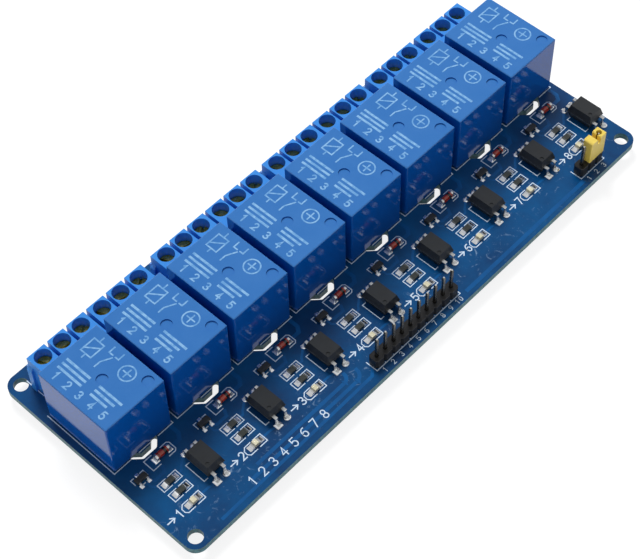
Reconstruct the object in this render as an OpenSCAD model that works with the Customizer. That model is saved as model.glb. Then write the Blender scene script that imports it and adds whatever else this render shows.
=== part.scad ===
// Eight-channel relay module: a printed circuit board that carries eight sealed relays,
// eight three-pole screw terminals, and the small parts that drive them.
// X runs along the board, Y from the input pins to the screw terminals, Z up.
// The origin is under the board's centre, level with the tips of the soldered pins.

/* [Board] */
// Number of relay channels
channels = 8; // [3:1:8]
// Gap between the relays, or the terminal blocks if those are wider
channel_gap = 1.7; // [1.5:0.1:5]
// Board left over beyond the first and the last channel
board_end = 0.75; // [0.2:0.05:4]
// Board thickness
board_t = 1.6; // [1:0.1:2.4]
// Radius of the board's corners
board_r = 2.8; // [0.5:0.1:4]
// Depth of the low-voltage area between the front edge and the relays
logic_zone = 24; // [24:0.5:34]
// Board left over behind the screw terminals
back_margin = 4.05; // [3:0.05:10]
// Length of the soldered pins below the board
pin_out = 2; // [1.4:0.1:3]

/* [Mounting holes] */
// Diameter of the mounting holes
mount_d = 3.2; // [2.5:0.1:4]
// Distance from a mounting hole's centre to both board edges
mount_inset = 2.75; // [2.3:0.05:4]

/* [Relays] */
// Relay width along the board
relay_w = 15.3; // [13:0.1:16]
// Relay depth
relay_d = 19.1; // [18:0.1:22]
// Relay height
relay_h = 15.3; // [10:0.1:20]
// Gap under the relays
relay_lift = 0.4; // [0.2:0.05:1]
// Sideways shift of the relays from the middle of their channel
relay_dx = 0.2; // [-0.5:0.05:0.5]
// Wall of the relay covers
cover_wall = 0.9; // [0.5:0.05:1.5]
// Radius along the top edges of the covers
cover_r = 0.35; // [0.1:0.05:1]
// Diameter of the two round dimples in each cover
dimple_d = 2.5; // [1:0.1:4]
// Depth of the dimples
dimple_depth = 0.3; // [0.1:0.05:0.6]
// Diameter of the relay pins
relay_pin_d = 0.9; // [0.6:0.05:1.2]

/* [Isolation slots] */
// Width of the milled slots
slot_w = 1.3; // [0.8:0.05:1.5]
// Length of the straight middle run of a slot
slot_run = 3; // [2:0.1:6]
// How far each slot reaches ahead of the relay
slot_reach = 1.2; // [0.8:0.05:2]

/* [Screw terminals] */
// Distance from pole to pole
pole_pitch = 5; // [4.8:0.02:5.08]
// Height of the terminal blocks
terminal_h = 10; // [9.5:0.1:14]
// Depth of the blocks at the top
terminal_d = 7.45; // [7.2:0.05:9]
// How far the wire side stands out below
flare = 0.8; // [0.2:0.05:1.2]
// Height up to which the wire side stands out
flare_h = 6.6; // [6.5:0.1:8]
// Gap between the relays and the terminal blocks
terminal_gap = 0.1; // [0.05:0.05:1]
// Distance from the board's left edge to the first block
terminal_start = 4.45; // [1:0.05:8]
// Diameter of the screw holes
screw_hole_d = 3.7; // [3.5:0.05:3.8]
// Diameter of the screw heads
head_d = 3.4; // [2.8:0.05:3.4]
// Height of the screw heads
head_h = 1.3; // [0.8:0.05:1.3]
// Diameter of the screw shanks
shank_d = 2.4; // [1.8:0.05:2.6]
// Width of the slots in the screw heads
driver_w = 0.6; // [0.4:0.05:1]
// Outer width of the wire clamps
clamp_w = 3.5; // [3:0.05:3.6]
// Wall of the wire clamps
clamp_wall = 0.6; // [0.4:0.05:0.7]
// Thickness of the contact bars
bar_t = 0.8; // [0.5:0.05:1]
// Diameter of the terminal pins
terminal_pin_d = 1; // [0.8:0.05:1.2]

/* [Pin headers] */
// Distance between header pins
header_pitch = 2.54; // [2:0.02:2.54]
// Number of supply pins
supply_pins = 3; // [3:1:4]
// Width of the square pins
pin_w = 0.64; // [0.5:0.02:0.7]
// Height of the pin tips above the board
pin_top = 8.5; // [8.3:0.1:12]
// Distance from the board's front edge to the input pins
input_row = 3.55; // [2.5:0.05:4.4]
// Distance from the board's front edge to the supply pins
supply_row = 3.7; // [2.5:0.05:4.4]
// Distance from the board's middle to the first input pin
input_start = -14; // [-30:0.5:10]
// Distance from the board's right edge to the last supply pin
supply_inset = 11.07; // [8:0.01:14]

/* [Jumper cap] */
// How far the jumper cap stands above the pin tips
jumper_over = 0.3; // [0.2:0.05:1]
// Thickness of the jumper cap
jumper_t = 2.4; // [2:0.05:2.5]
// Width of the notch between its two lobes
jumper_notch = 0.9; // [0.5:0.05:1.2]
// Depth of that notch
jumper_notch_depth = 1.6; // [0.5:0.1:3]
// Diameter of the hole over the open pin
jumper_hole_d = 1.3; // [1:0.05:1.6]

/* [Small parts] */
// Length of the optocoupler bodies, without leads
opto_l = 6.5; // [5:0.1:7]
// Width of the optocoupler bodies
opto_w = 4.6; // [4:0.1:5.5]
// Height of the optocoupler bodies
opto_h = 3.5; // [2:0.1:4]
// Length of the diodes
diode_l = 3.5; // [3:0.1:4]
// Diameter of the diode end caps
diode_d = 1.5; // [1.2:0.05:1.8]
// Length of the transistor bodies
sot_l = 2.9; // [2.4:0.1:3.2]
// Length of the chip resistors and lamps
chip_l = 2; // [1.6:0.1:2.4]
// Width of the chip resistors and lamps
chip_w = 1.25; // [0.8:0.05:1.5]
// Height of the chip resistors
resistor_h = 0.55; // [0.3:0.05:0.8]
// Height of the indicator lamps
led_h = 0.85; // [0.6:0.05:1.2]

/* [Hidden] */
$fn = 48;
eps = 0.01;
fit_gap = 0.1;           // play between a piece and the recess that takes it

poles = 3;
terminal_w = poles * pole_pitch;

// the board, from its front edge to its back edge
channel_pitch = max(relay_w, terminal_w) + channel_gap;
board_l = channels * channel_pitch + 2 * board_end;
board_w = logic_zone + relay_d + terminal_gap + terminal_d + flare + back_margin;
front_y = -board_w / 2;
board_z = pin_out;               // underside
top_z = pin_out + board_t;       // component side
mount_x = board_l / 2 - mount_inset;
mount_y = board_w / 2 - mount_inset;

// the relays
relay_front = front_y + logic_zone;
relay_y = relay_front + relay_d / 2;
relay_z = top_z + relay_lift;
base_h = relay_h - cover_wall - fit_gap;
base_recess = 0.3;               // the sealed base lies this far inside the cover's rim
foot_w = 1;                      // feet at the four corners of a cover
foot_inset = cover_r + foot_w / 2;
dimple_inset = 2.2;
dimples = [[relay_w / 2 - dimple_inset, dimple_inset - relay_d / 2], [-0.2, -0.6]];
// the common contact in the middle of the front, two coil pins, and two contact pins
common_y = 2.5;
coil_y = 4.5;
contact_y = relay_d - 2.4;
pin_side = relay_w / 2 - 1.65;
relay_pins_xy = [[0, common_y], [-pin_side, coil_y], [pin_side, coil_y],
                 [-pin_side, contact_y], [pin_side, contact_y]];

// the screw terminals: three poles a block, and blocks set with uneven gaps
block_gaps = [0, 0.75, 2.75, 0.7, 1.9, 0.7, 1.9, 1.3];
terminal_y = relay_front + relay_d + terminal_gap;   // the face toward the relays
hole_back = 2.1;                 // screw holes, ahead of the upper back face
hole_y = terminal_d - hole_back;
groove_w = 0.8;                  // slots between the poles
groove_front = 2.3;              // how far these reach ahead of the screw holes
groove_y = hole_y - groove_front;
groove_depth = 3.3;
rib_out = 0.65;                  // dovetail ribs on the left end
rib_w = 1.4;
rib_h = 7.8;
rib_y = [1.3, terminal_d - 0.9];
cavity_w = clamp_w + 4 * fit_gap;
cavity_front = 1.5;
wire_wall = 0.75;
cavity_back = terminal_d + flare - wire_wall;
cavity_floor = 0.8;
cavity_top = 6.2;
window_w = cavity_w - 0.3;
window_floor = cavity_floor + clamp_wall;
window_top = cavity_top - 0.7;
head_z = cavity_top;             // underside of the screw heads
bar_top = head_z - 1.1;          // the screws' tips stand on the contact bars
bar_w = clamp_w - 2 * clamp_wall - fit_gap;
bar_front = cavity_front + fit_gap;
bar_back = cavity_back - 0.5;
clamp_l = 4;
clamp_top = head_z - fit_gap;
clamp_collar = clamp_top - bar_top - fit_gap;
driver_depth = head_h / 2;
terminal_pin_y = bar_front + terminal_pin_d / 2;

// solder and through holes
hole_gap = 0.15;
solder_h = 1.2;
solder_top = 0.2;                // rings of solder round the pins, at their lower end
solder_foot = 0.5;               // and where they meet the board

// rows of small parts, as distances ahead of the relays
opto_ahead = 11.45;
diode_ahead = 3.77;
sot_ahead = 4.85;
resistor_ahead = 9.15;
resistor_step = 3;
lamp_ahead = 15.6;
opto_y = relay_front - opto_ahead;
diode_y = relay_front - diode_ahead;
sot_y = relay_front - sot_ahead;
resistor_rows = [relay_front - resistor_ahead, relay_front - resistor_ahead - resistor_step];
led_y = relay_front - lamp_ahead;
// and their places along each channel
opto_dx = 5.8;
diode_dx = 1.5;
sot_dx = -5.05;
chip_dx = -1.5;

// optocoupler
opto_lift = 0.35;
opto_mid = opto_h / 2;           // parting line
opto_draft = 0.5;
opto_pitch = 2.54;
opto_lead_w = 0.75;
opto_lead_t = 0.3;
opto_reach = 1.0;                // shoulder beyond the body
opto_foot = 0.8;
opto_dot_d = 0.9;                // dimple beside the first lead
opto_dot_inset = 1.15;
opto_dot_z = opto_lift + opto_h - 0.15;
lead_inner = 0.3;                // how far leads reach into a body
// transistor
sot_w = 1.3;
sot_h = 1;
sot_lift = 0.1;
sot_draft = 0.12;
sot_pitch = 0.95;
sot_lead_w = 0.45;
sot_lead_t = 0.15;
sot_reach = 0.3;
sot_foot = 0.3;
// diode and chips
diode_cap = 0.45;
glass_d = diode_d - 0.14;
chip_end = 0.35;
lamp_base = 0.3;
lamp_end_h = 0.4;

// headers and jumper
header_h = 2.54;
header_chamfer = 0.45;
pin_point = 0.5;
hole_d_header = pin_w * sqrt(2) + hole_gap;
input_count = channels + 2;      // one pin a channel, and the two supply pins
input_x = input_start;
supply_x = board_l / 2 - supply_inset - (supply_pins - 1) * header_pitch;
jumper_x = supply_x + (supply_pins - 1.5) * header_pitch;
jumper_l = 2 * header_pitch;
jumper_z = top_z + header_h + fit_gap;
jumper_h = pin_top - header_h - fit_gap + jumper_over;
jumper_lobe = (jumper_l - jumper_notch) / 2;
jumper_bore = pin_w + 2 * fit_gap;
jumper_split = 0.35;             // slit from the open lobe down into the notch
clip_t = 0.25;
clip_h = jumper_h - jumper_notch_depth - 0.6;

function numbered(name) = [for (i = [1 : channels]) str(name, "_", i)];

function channel_x(i) = (i - (channels - 1) / 2) * channel_pitch;
function relay_x(i) = channel_x(i) + relay_dx;
function gap_sum(i) = i < 0 ? 0 : block_gaps[i] + gap_sum(i - 1);
// left end of a terminal block
function terminal_x(i) = -board_l / 2 + terminal_start + i * terminal_w + gap_sum(i);
function pole_x(i, p) = terminal_x(i) + (p + 0.5) * pole_pitch;
function relay_pin(i, k) = [relay_x(i) + relay_pins_xy[k][0], relay_front + relay_pins_xy[k][1]];
function terminal_pin(i, p) = [pole_x(i, p), terminal_y + terminal_pin_y];

module each_channel() {
    for (i = [0 : channels - 1]) translate([channel_x(i), 0, 0]) children();
}

// a flat plate with rounded corners, centred, standing on z = 0
module rounded_plate(l, w, t, r) {
    linear_extrude(t) union() {
        square([l - 2 * r, w], center = true);
        square([l, w - 2 * r], center = true);
        for (sx = [-1, 1], sy = [-1, 1]) translate([sx * (l / 2 - r), sy * (w / 2 - r)]) circle(r);
    }
}

// a side view with rounded top corners, width w and height h
module arch(w, h, r) {
    translate([-w / 2, 0]) square([w, h - r]);
    translate([r - w / 2, 0]) square([w - 2 * r, h]);
    for (s = [-1, 1]) translate([s * (w / 2 - r), h - r]) circle(r);
}

// a box with its upright edges and its top edges rounded by r
module soft_top_box(l, w, h, r) {
    intersection() {
        rounded_plate(l, w, h, r);
        translate([0, w / 2 + eps, 0]) rotate([90, 0, 0]) linear_extrude(w + 2 * eps) arch(l, h, r);
        translate([-l / 2 - eps, 0, 0]) rotate([90, 0, 90]) linear_extrude(l + 2 * eps) arch(w, h, r);
    }
}

// side view of a moulded body that narrows above and below its parting line
module drafted_side(w, h, mid, draft) {
    polygon([[-w / 2 + draft, 0], [w / 2 - draft, 0], [w / 2, mid],
             [w / 2 - draft, h], [-w / 2 + draft, h], [-w / 2, mid]]);
}

module drafted_box(l, w, h, mid, draft) {
    intersection() {
        translate([0, w / 2 + eps, 0]) rotate([90, 0, 0])
            linear_extrude(w + 2 * eps) drafted_side(l, h, mid, draft);
        translate([-l / 2 - eps, 0, 0]) rotate([90, 0, 90])
            linear_extrude(l + 2 * eps) drafted_side(w, h, mid, draft);
    }
}

// one gull-wing lead along +Y: out of the body at height z, down, and out along the board
module gull_lead(width, t, z, reach, foot, inner) {
    rotate([90, 0, 90]) translate([0, 0, -width / 2]) linear_extrude(width)
        polygon([[-inner, z - t / 2], [reach - t, z - t / 2], [reach - t, 0], [reach + foot, 0],
                 [reach + foot, t], [reach, t], [reach, z + t / 2], [-inner, z + t / 2]]);
}

// a milled slot: a straight run with an arm bent back at 45 degrees at each end
module slot_outline() {
    arm = slot_reach + 0.15;
    translate([-slot_run / 2, -slot_w / 2]) square([slot_run, slot_w]);
    for (s = [-1, 1]) translate([s * slot_run / 2, 0]) {
        circle(slot_w / 2);
        rotate(90 - s * 45) translate([0, -slot_w / 2]) square([arm * sqrt(2), slot_w]);
        translate([s * arm, arm]) circle(slot_w / 2);
    }
}

module pcb() {
    color("navy") difference() {
        translate([0, 0, board_z]) rounded_plate(board_l, board_w, board_t, board_r);
        for (sx = [-1, 1], sy = [-1, 1])
            translate([sx * mount_x, sy * mount_y, board_z - 1]) cylinder(d = mount_d, h = board_t + 2);
        for (i = [0 : channels - 1]) {
            translate([relay_x(i), relay_front - slot_reach, board_z - 1])
                linear_extrude(board_t + 2) slot_outline();
            for (k = [0 : len(relay_pins_xy) - 1]) pin_hole(relay_pin(i, k), relay_pin_d + 2 * hole_gap);
            for (p = [0 : poles - 1]) pin_hole(terminal_pin(i, p), terminal_pin_d + 2 * hole_gap);
        }
        for (k = [0 : input_count - 1])
            pin_hole([input_x + k * header_pitch, front_y + input_row], hole_d_header);
        for (k = [0 : supply_pins - 1])
            pin_hole([supply_x + k * header_pitch, front_y + supply_row], hole_d_header);
    }
}

module pin_hole(at, d) {
    translate([at[0], at[1], board_z - 1]) cylinder(d = d, h = board_t + 2);
}

module relay_cover(i) {
    color("royalblue") translate([relay_x(i), relay_y, relay_z]) difference() {
        soft_top_box(relay_w, relay_d, relay_h, cover_r);
        translate([cover_wall - relay_w / 2, cover_wall - relay_d / 2, -1])
            cube([relay_w - 2 * cover_wall, relay_d - 2 * cover_wall, relay_h - cover_wall + 1]);
        for (at = dimples)
            translate([at[0], at[1], relay_h - dimple_depth]) cylinder(d = dimple_d, h = 1);
    }
    color("royalblue") translate([relay_x(i), relay_y, top_z])
        for (sx = [-1, 1], sy = [-1, 1])
            translate([sx * (relay_w / 2 - foot_inset), sy * (relay_d / 2 - foot_inset), 0]) relay_foot();
}

module relay_foot() {
    translate([0, 0, (relay_lift + eps) / 2])
        cube([foot_w, foot_w, relay_lift + eps], center = true);
}

// the sealed base and what it holds, as one block inside each cover
module relay_bases() {
    color("midnightblue") for (i = [0 : channels - 1])
        translate([relay_x(i), relay_y, relay_z + base_recess])
            translate([-base_w() / 2, -base_d() / 2, 0])
                cube([base_w(), base_d(), base_h - base_recess]);
}
function base_w() = relay_w - 2 * cover_wall - 2 * fit_gap;
function base_d() = relay_d - 2 * cover_wall - 2 * fit_gap;

module relay_pins() {
    color("silver") for (i = [0 : channels - 1], k = [0 : len(relay_pins_xy) - 1])
        translate([relay_pin(i, k)[0], relay_pin(i, k)[1], 0])
            cylinder(d = relay_pin_d, h = relay_z + base_recess);
}

// side view of a terminal block, with the wire side at +Y
module terminal_side() {
    polygon([[0, 0], [terminal_d + flare, 0], [terminal_d + flare, flare_h],
             [terminal_d, flare_h + flare], [terminal_d, terminal_h], [0, terminal_h]]);
}

// a dovetail rib, or with play the groove that takes one
module dovetail(play) {
    half = rib_w / 2 + play;
    intersection() {
        linear_extrude(rib_h + play) polygon([[eps, -half + 0.2], [-rib_out - play, -half],
                                              [-rib_out - play, half], [eps, half - 0.2]]);
        translate([-rib_out - play, -half - 1, 0]) rotate([90, 0, 0]) mirror([0, 0, 1])
            linear_extrude(2 * half + 2)
                polygon([[0, 0], [rib_out + play + eps, 0], [rib_out + play + eps, rib_h + play],
                         [0, rib_h - rib_out]]);
    }
}

module terminal_block(i) {
    color("dodgerblue") translate([terminal_x(i), terminal_y, top_z]) difference() {
        union() {
            rotate([90, 0, 90]) linear_extrude(terminal_w) terminal_side();
            for (y = rib_y) translate([0, y, 0]) dovetail(0);
        }
        for (y = rib_y) translate([terminal_w + eps, y, -eps]) dovetail(fit_gap);
        for (p = [0 : poles - 1]) translate([(p + 0.5) * pole_pitch, 0, 0]) pole_cut();
        for (p = [1 : poles - 1])
            translate([p * pole_pitch - groove_w / 2, groove_y, terminal_h - groove_depth])
                cube([groove_w, terminal_d + flare, groove_depth + 1]);
    }
}

// what one pole takes out of the block: screw hole, clamp cavity, wire window, pin hole
module pole_cut() {
    translate([0, hole_y, cavity_top - eps])
        cylinder(d = screw_hole_d, h = terminal_h - cavity_top + 1);
    translate([-cavity_w / 2, cavity_front, cavity_floor])
        cube([cavity_w, cavity_back - cavity_front, cavity_top - cavity_floor]);
    translate([-window_w / 2, cavity_back - eps, window_floor])
        cube([window_w, terminal_d + flare, window_top - window_floor]);
    translate([0, terminal_pin_y, -1])
        cylinder(d = terminal_pin_d + 2 * hole_gap, h = cavity_floor + 2);
}

module terminal_screws(i) {
    color("darkgoldenrod") for (p = [0 : poles - 1])
        translate([pole_x(i, p), terminal_y + hole_y, top_z]) difference() {
            union() {
                translate([0, 0, head_z]) cylinder(d = head_d, h = head_h);
                translate([0, 0, bar_top]) cylinder(d = shank_d, h = head_z - bar_top + eps);
            }
            rotate(25 + 50 * ((i * poles + p) % 3))
                translate([-driver_w / 2, -head_d, head_z + head_h - driver_depth])
                    cube([driver_w, 2 * head_d, driver_depth + 1]);
        }
}

// the lifting clamps: a frame that each screw draws up under its contact bar
module wire_clamps() {
    color("gainsboro") for (i = [0 : channels - 1], p = [0 : poles - 1])
        translate([pole_x(i, p), terminal_y + hole_y, top_z]) difference() {
            translate([-clamp_w / 2, -clamp_l / 2, cavity_floor])
                cube([clamp_w, clamp_l, clamp_top - cavity_floor]);
            translate([clamp_wall - clamp_w / 2, -clamp_l, cavity_floor + clamp_wall])
                cube([clamp_w - 2 * clamp_wall, 2 * clamp_l,
                      clamp_top - clamp_collar - cavity_floor - clamp_wall]);
            translate([0, 0, bar_top]) cylinder(d = shank_d + 2 * fit_gap, h = 2);
        }
}

// contact bar, bent down into its soldered pin
module terminal_contacts() {
    color("silver") for (i = [0 : channels - 1], p = [0 : poles - 1])
        translate([pole_x(i, p), terminal_y, 0]) {
            translate([-bar_w / 2, bar_front, top_z + bar_top - bar_t])
                cube([bar_w, bar_back - bar_front, bar_t]);
            translate([-bar_w / 2, bar_front, top_z + cavity_floor])
                cube([bar_w, bar_t, bar_top - bar_t - cavity_floor + eps]);
            translate([0, terminal_pin_y, 0])
                cylinder(d = terminal_pin_d, h = top_z + cavity_floor + 1);
        }
}

module opto_bodies() {
    color("darkslategray") each_channel() translate([opto_dx, opto_y, top_z]) difference() {
        translate([0, 0, opto_lift]) drafted_box(opto_w, opto_l, opto_h, opto_mid, opto_draft);
        opto_lead_set();
        translate([opto_dot_inset - opto_w / 2, opto_dot_inset - opto_l / 2, opto_dot_z])
            cylinder(d = opto_dot_d, h = 1);
    }
}

module opto_leads() {
    color("silver") each_channel() translate([opto_dx, opto_y, top_z]) opto_lead_set();
}

module opto_lead_set() {
    for (sx = [-1, 1], turn = [0, 180]) rotate(turn) translate([sx * opto_pitch / 2, opto_l / 2, 0])
        gull_lead(opto_lead_w, opto_lead_t, opto_lift + opto_mid, opto_reach, opto_foot, lead_inner);
}

module diode_glass() {
    color("firebrick") each_channel()
        translate([diode_dx, diode_y, top_z + diode_d / 2]) rotate([0, 90, 0])
            cylinder(d = glass_d, h = diode_l - 2 * diode_cap, center = true);
}

module diode_caps() {
    color("silver") each_channel() for (s = [-1, 1])
        translate([diode_dx + s * (diode_l - diode_cap) / 2, diode_y, top_z + diode_d / 2])
            rotate([0, 90, 0]) cylinder(d = diode_d, h = diode_cap, center = true);
}

module transistor_bodies() {
    color("black") each_channel() translate([sot_dx, sot_y, top_z]) difference() {
        translate([0, 0, sot_lift]) drafted_box(sot_l, sot_w, sot_h, sot_h / 2, sot_draft);
        sot_lead_set();
    }
}

module transistor_leads() {
    color("silver") each_channel() translate([sot_dx, sot_y, top_z]) sot_lead_set();
}

module sot_lead_set() {
    translate([0, sot_w / 2, 0]) sot_lead();
    for (s = [-1, 1]) translate([s * sot_pitch, -sot_w / 2, 0]) rotate(180) sot_lead();
}

module sot_lead() {
    gull_lead(sot_lead_w, sot_lead_t, sot_lift + sot_h / 2, sot_reach, sot_foot, lead_inner);
}

module chip_row(y, l, h) {
    each_channel() translate([chip_dx - l / 2, y - chip_w / 2, top_z]) cube([l, chip_w, h]);
}

// both end caps of one row of chips
module chip_ends(y, h) {
    each_channel() for (s = [-1, 1])
        translate([chip_dx + s * (chip_l - chip_end) / 2 - chip_end / 2, y - chip_w / 2, top_z])
            cube([chip_end, chip_w, h]);
}

module resistor_bodies() {
    color("dimgray") for (y = resistor_rows) chip_row(y, chip_l - 2 * chip_end, resistor_h);
}

module resistor_ends() {
    color("silver") for (y = resistor_rows) chip_ends(y, resistor_h);
}

module lamp_bases() {
    color("ivory") chip_row(led_y, chip_l - 2 * chip_end, lamp_base);
}

module lamp_lenses() {
    lens_l = chip_l - 2 * chip_end;
    color("lemonchiffon") each_channel()
        translate([chip_dx, led_y + chip_w / 2, top_z + lamp_base]) rotate([90, 0, 0])
            linear_extrude(chip_w)
                polygon([[-lens_l / 2, 0], [lens_l / 2, 0], [lens_l / 2 - 0.15, led_h - lamp_base],
                         [0.15 - lens_l / 2, led_h - lamp_base]]);
}

module lamp_ends() {
    color("silver") chip_ends(led_y, lamp_end_h);
}

// moulded strip of a pin header, with a notch between neighbouring pins
module header_strip(count) {
    half = header_pitch / 2;
    difference() {
        for (k = [0 : count - 1]) translate([k * header_pitch, 0, 0]) linear_extrude(header_h)
            polygon([[-half, -header_h / 2 + header_chamfer], [header_chamfer - half, -header_h / 2],
                     [half - header_chamfer, -header_h / 2], [half, -header_h / 2 + header_chamfer],
                     [half, header_h / 2 - header_chamfer], [half - header_chamfer, header_h / 2],
                     [header_chamfer - half, header_h / 2], [-half, header_h / 2 - header_chamfer]]);
        for (k = [0 : count - 1]) translate([k * header_pitch - pin_w / 2, -pin_w / 2, -1])
            cube([pin_w, pin_w, header_h + 2]);
    }
}

// square pins with cropped points
module header_pins(count) {
    for (k = [0 : count - 1]) translate([k * header_pitch, 0, 0]) intersection() {
        translate([0, pin_w, 0]) rotate([90, 0, 0]) linear_extrude(2 * pin_w) pin_side();
        translate([-pin_w, 0, 0]) rotate([90, 0, 90]) linear_extrude(2 * pin_w) pin_side();
    }
}

module pin_side() {
    z = top_z + pin_top;
    polygon([[-pin_w / 2, 0], [pin_w / 2, 0], [pin_w / 2, z - pin_point],
             [pin_w / 4, z], [-pin_w / 4, z], [-pin_w / 2, z - pin_point]]);
}

module input_header() {
    color("black") translate([input_x, front_y + input_row, top_z]) header_strip(input_count);
}

module input_pins() {
    color("silver") translate([input_x, front_y + input_row, 0]) header_pins(input_count);
}

module supply_header() {
    color("black") translate([supply_x, front_y + supply_row, top_z]) header_strip(supply_pins);
}

module supply_pins() {
    color("silver") translate([supply_x, front_y + supply_row, 0]) header_pins(supply_pins);
}

// jumper cap over the last two supply pins: one lobe closed, the other open over its pin
module jumper_cap() {
    open_x = header_pitch / 2;
    color("khaki") translate([jumper_x, front_y + supply_row, jumper_z]) difference() {
        intersection() {
            rounded_plate(jumper_l, jumper_t, jumper_h, 0.3);
            translate([0, jumper_t, 0]) rotate([90, 0, 0]) linear_extrude(2 * jumper_t) union() {
                for (s = [-1, 1])
                    translate([s * (jumper_l - jumper_lobe) / 2, 0]) arch(jumper_lobe, jumper_h, 0.5);
                translate([-jumper_l / 4, 0]) square([jumper_l / 2, jumper_h - jumper_notch_depth]);
            }
        }
        for (s = [-1, 1]) translate([s * header_pitch / 2 - jumper_bore / 2, -jumper_bore / 2, -1])
            cube([jumper_bore, jumper_bore, pin_top - header_h + 1]);
        translate([-header_pitch / 2, -clip_t / 2 - fit_gap, -1])
            cube([header_pitch, clip_t + 2 * fit_gap, clip_h + fit_gap + 1]);
        translate([open_x, 0, jumper_h - jumper_notch_depth])
            cylinder(d = jumper_hole_d, h = jumper_notch_depth + 1);
        translate([0, -jumper_split / 2, clip_h]) cube([open_x, jumper_split, jumper_h]);
    }
}

// sheet-metal contact that bridges the two pins inside the cap
module jumper_contact() {
    color("gainsboro") translate([jumper_x, front_y + supply_row, jumper_z + fit_gap])
        translate([pin_w / 2 - header_pitch / 2, -clip_t / 2, 0])
            cube([header_pitch - pin_w, clip_t, clip_h - fit_gap]);
}

module solder_cone(at, d) {
    translate([at[0], at[1], board_z - solder_h]) difference() {
        cylinder(d1 = d + 2 * solder_top, d2 = d + 2 * solder_foot, h = solder_h);
        translate([0, 0, -1]) cylinder(d = d, h = solder_h + 2);
    }
}

module solder_joints() {
    color("lightgray") {
        for (i = [0 : channels - 1]) {
            for (k = [0 : len(relay_pins_xy) - 1]) solder_cone(relay_pin(i, k), relay_pin_d);
            for (p = [0 : poles - 1]) solder_cone(terminal_pin(i, p), terminal_pin_d);
        }
        for (k = [0 : input_count - 1])
            solder_cone([input_x + k * header_pitch, front_y + input_row], pin_w * sqrt(2));
        for (k = [0 : supply_pins - 1])
            solder_cone([supply_x + k * header_pitch, front_y + supply_row], pin_w * sqrt(2));
    }
}

pcb();
for (i = [0 : channels - 1]) {
    relay_cover(i);
    terminal_block(i);
    terminal_screws(i);
}
relay_bases();
relay_pins();
wire_clamps();
terminal_contacts();
opto_bodies();
opto_leads();
diode_glass();
diode_caps();
transistor_bodies();
transistor_leads();
resistor_bodies();
resistor_ends();
lamp_bases();
lamp_lenses();
lamp_ends();
input_header();
input_pins();
supply_header();
supply_pins();
jumper_cap();
jumper_contact();
solder_joints();
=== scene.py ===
import math
import bpy
from mathutils import Matrix, Vector


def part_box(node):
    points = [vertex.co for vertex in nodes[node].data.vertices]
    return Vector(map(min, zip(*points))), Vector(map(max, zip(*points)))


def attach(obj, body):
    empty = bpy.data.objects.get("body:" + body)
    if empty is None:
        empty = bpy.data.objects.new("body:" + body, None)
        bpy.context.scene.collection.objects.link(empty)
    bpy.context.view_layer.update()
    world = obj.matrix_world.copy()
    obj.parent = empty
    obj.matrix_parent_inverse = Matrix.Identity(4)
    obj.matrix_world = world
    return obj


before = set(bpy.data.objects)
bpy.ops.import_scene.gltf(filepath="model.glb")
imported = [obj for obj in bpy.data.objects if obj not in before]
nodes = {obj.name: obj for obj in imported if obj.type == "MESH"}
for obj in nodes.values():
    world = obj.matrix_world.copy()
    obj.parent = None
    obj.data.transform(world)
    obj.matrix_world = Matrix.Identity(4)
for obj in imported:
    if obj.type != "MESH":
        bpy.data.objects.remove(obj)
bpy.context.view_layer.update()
mm = 0.001

# where things stand, all read from the frame, in millimetres
def boxMm(node):
    low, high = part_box(node)
    return [v / mm for v in low], [v / mm for v in high]

boardLow, boardHigh = boxMm("pcb")
topZ = boardHigh[2]
underZ = boardLow[2]
frontY = boardLow[1]
coverBoxes = [boxMm(f"relay_cover_{i + 1}") for i in range(8)]
relayFront = coverBoxes[0][0][1]
relayBack = coverBoxes[0][1][1]
relayTop = coverBoxes[0][1][2]
channelStep = coverBoxes[1][0][0] - coverBoxes[0][0][0]
firstChannel = (boardLow[0] + boardHigh[0]) / 2 - 3.5 * channelStep
channels = [firstChannel + i * channelStep for i in range(8)]
relayMid = [(low[0] + high[0]) / 2 for low, high in coverBoxes]
headerPins = {"input_header": 10, "supply_header": 3}
print("frame read")


# colours, node groups and materials

def srgb(r, g, b):
    def linear(v):
        v /= 255
        return v / 12.92 if v <= 0.04045 else ((v + 0.055) / 1.055) ** 2.4
    return (linear(r), linear(g), linear(b), 1)


def socketPair(group, name, kind, isInput, value=None):
    sock = group.interface.new_socket(name=name, in_out="INPUT" if isInput else "OUTPUT", socket_type=kind)
    if value is not None:
        sock.default_value = value


def addNode(tree, kind, **settings):
    node = tree.nodes.new(kind)
    for key, value in settings.items():
        setattr(node, key, value)
    return node


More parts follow.
